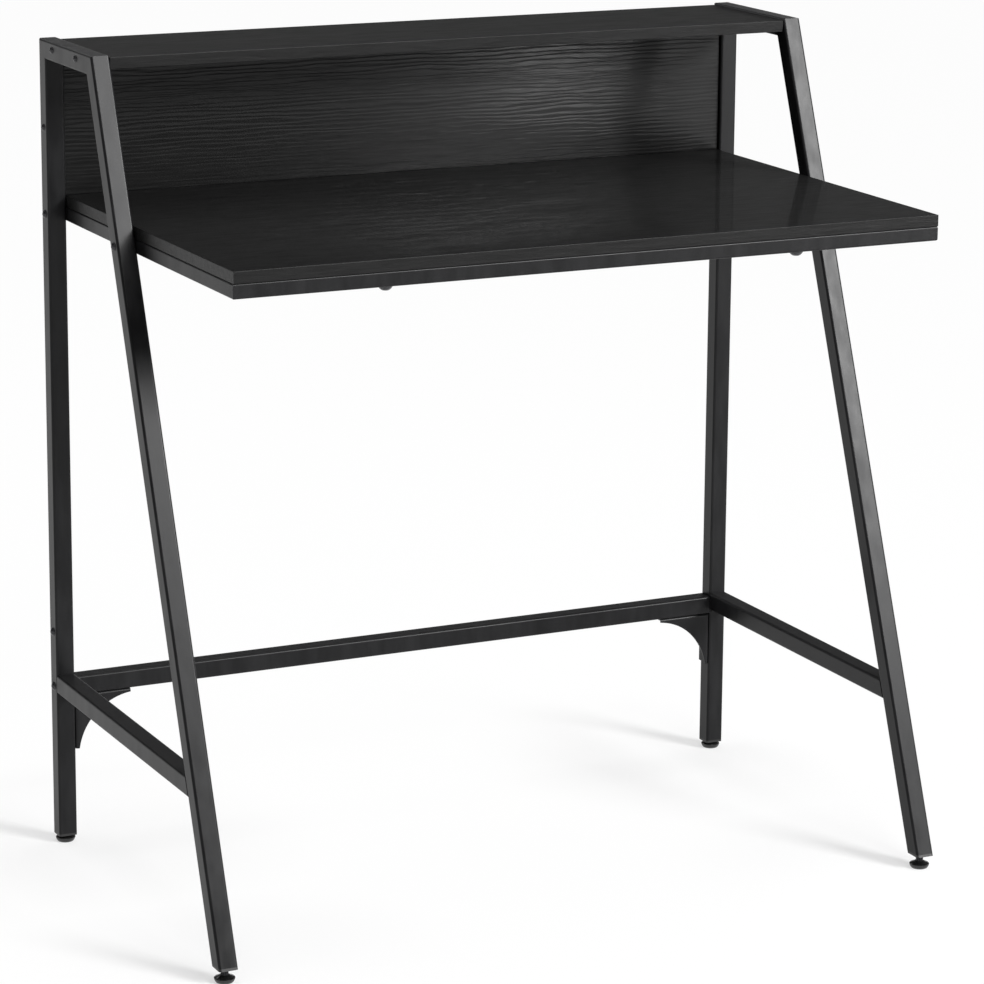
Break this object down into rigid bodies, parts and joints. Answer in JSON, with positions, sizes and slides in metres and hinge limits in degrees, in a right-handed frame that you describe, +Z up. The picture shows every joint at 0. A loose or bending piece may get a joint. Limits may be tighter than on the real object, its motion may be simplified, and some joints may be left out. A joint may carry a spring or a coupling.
{
  "type": "writing desk",
  "caption": "Black writing desk with slanted front legs and upright posts of square steel tube, a flat desktop, a back board, a raised rear shelf and screw-adjusted levelling feet.",
  "frame": {"origin": "on the floor, under the middle of the desk's outline", "axes": "+X to the right of a person sitting at the desk, +Y from the front edge to the back board, +Z up"},
  "size_m": [0.8154, 0.4785, 0.864],
  "materials": {
    "frame_steel": "satin black powder coat",
    "board_laminate": "semi-gloss black wood-grain laminate",
    "edge_band": "satin black edge band",
    "black_fastener": "black-coated steel",
    "plated_steel": "zinc plate",
    "brass": "plain",
    "foot_plastic": "glossy black",
    "stem_steel": "black-oxide thread"
  },
  "bodies": {
    "frame": {"left_rear_post": "frame_steel", "left_top_rail": "frame_steel", "left_front_leg": "frame_steel", "left_side_stretcher": "frame_steel", "left_gusset": "frame_steel", "left_desk_rail": "frame_steel", "left_leg_plug": "foot_plastic", "left_post_plug": "foot_plastic", "right_rear_post": "frame_steel", "right_top_rail": "frame_steel", "right_front_leg": "frame_steel", "right_side_stretcher": "frame_steel", "right_gusset": "frame_steel", "right_desk_rail": "frame_steel", "right_leg_plug": "foot_plastic", "right_post_plug": "foot_plastic", "rear_stretcher": "frame_steel", "desk_front_rail": "frame_steel", "desk_rear_rail": "frame_steel", "desktop_board": "board_laminate", "top_shelf": "board_laminate", "back_board": "board_laminate", "desktop_edge_band": "edge_band", "shelf_edge_band": "edge_band", "desk_frame_bolts": "black_fastener", "stretcher_bolts": "black_fastener", "spare_hole_bolts": "black_fastener", "shelf_screws": "black_fastener", "back_board_screws": "black_fastener", "desktop_bolts": "black_fastener", "desk_rail_nuts": "plated_steel", "spare_hole_nuts": "plated_steel", "stretcher_end_plates": "plated_steel", "desktop_inserts": "brass"},
    "left_front_pad": {"left_front_foot_pad": "foot_plastic"},
    "left_front_stem": {"left_front_foot_stem": "stem_steel"},
    "left_rear_pad": {"left_rear_foot_pad": "foot_plastic"},
    "left_rear_stem": {"left_rear_foot_stem": "stem_steel"},
    "right_front_pad": {"right_front_foot_pad": "foot_plastic"},
    "right_front_stem": {"right_front_foot_stem": "stem_steel"},
    "right_rear_pad": {"right_rear_foot_pad": "foot_plastic"},
    "right_rear_stem": {"right_rear_foot_stem": "stem_steel"}
  },
  "joints": [
    {"name": "left_front_foot_travel", "type": "slide", "parent": "frame", "child": "left_front_pad", "axis": [0, 0, -1], "range_m": [-0.007, 0.003]},
    {"name": "left_front_foot_turn", "type": "hinge", "parent": "left_front_pad", "child": "left_front_stem", "pos_m": [-0.395, -0.2268, 0], "axis": [0, 0, -1], "range_deg": [-2017, 865]},
    {"name": "left_rear_foot_travel", "type": "slide", "parent": "frame", "child": "left_rear_pad", "axis": [0, 0, -1], "range_m": [0, 0.009]},
    {"name": "left_rear_foot_turn", "type": "hinge", "parent": "left_rear_pad", "child": "left_rear_stem", "pos_m": [-0.395, 0.229, 0], "axis": [0, 0, -1], "range_deg": [-1, 2593]},
    {"name": "right_front_foot_travel", "type": "slide", "parent": "frame", "child": "right_front_pad", "axis": [0, 0, -1], "range_m": [-0.007, 0.003]},
    {"name": "right_front_foot_turn", "type": "hinge", "parent": "right_front_pad", "child": "right_front_stem", "pos_m": [0.395, -0.2268, 0], "axis": [0, 0, -1], "range_deg": [-2017, 865]},
    {"name": "right_rear_foot_travel", "type": "slide", "parent": "frame", "child": "right_rear_pad", "axis": [0, 0, -1], "range_m": [0, 0.009]},
    {"name": "right_rear_foot_turn", "type": "hinge", "parent": "right_rear_pad", "child": "right_rear_stem", "pos_m": [0.395, 0.229, 0], "axis": [0, 0, -1], "range_deg": [-1, 2593]}
  ],
  "couplings": [
    {"joint": "left_front_foot_turn", "follows": "left_front_foot_travel", "rad_per_m": 5026.5},
    {"joint": "left_rear_foot_turn", "follows": "left_rear_foot_travel", "rad_per_m": 5026.5},
    {"joint": "right_front_foot_turn", "follows": "right_front_foot_travel", "rad_per_m": 5026.5},
    {"joint": "right_rear_foot_turn", "follows": "right_rear_foot_travel", "rad_per_m": 5026.5}
  ]
}
